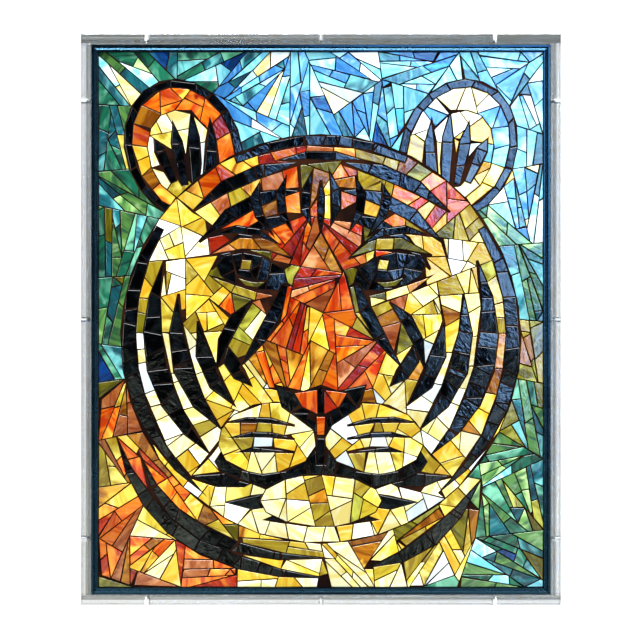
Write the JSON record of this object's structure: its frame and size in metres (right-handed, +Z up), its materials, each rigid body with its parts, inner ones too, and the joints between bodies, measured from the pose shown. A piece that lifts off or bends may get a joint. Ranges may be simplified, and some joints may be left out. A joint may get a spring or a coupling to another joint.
{
  "type": "mosaic panel",
  "caption": "Rectangular wall panel: a tiger's face in cut stained glass set in dark grout on a board, inside a stepped black rim and clear acrylic walls.",
  "frame": {"origin": "centre of the panel's flat back, on the wall", "axes": "+X to the right as seen from the front, +Z up, +Y into the wall, so the front faces -Y"},
  "size_m": [0.6126, 0.04, 0.7286],
  "materials": {
    "board": "painted dark, matt",
    "glass_and_grout": "opaque streaky stained glass in dark brown grout",
    "rim": "black gloss",
    "acrylic": "clear, polished faces and streaky cut edges",
    "screw": "bright"
  },
  "bodies": {
    "root": {"backing_board": "board", "mosaic": "glass_and_grout", "rim_top": "rim", "rim_bottom": "rim", "rim_left": "rim", "rim_right": "rim", "acrylic_wall_top": "acrylic", "acrylic_wall_bottom": "acrylic", "acrylic_wall_left": "acrylic", "acrylic_wall_right": "acrylic", "screw_top_1": "screw", "screw_top_2": "screw", "screw_top_3": "screw", "screw_bottom_1": "screw", "screw_bottom_2": "screw", "screw_bottom_3": "screw", "screw_left_1": "screw", "screw_left_2": "screw", "screw_left_3": "screw", "screw_right_1": "screw", "screw_right_2": "screw", "screw_right_3": "screw"}
  },
  "joints": []
}
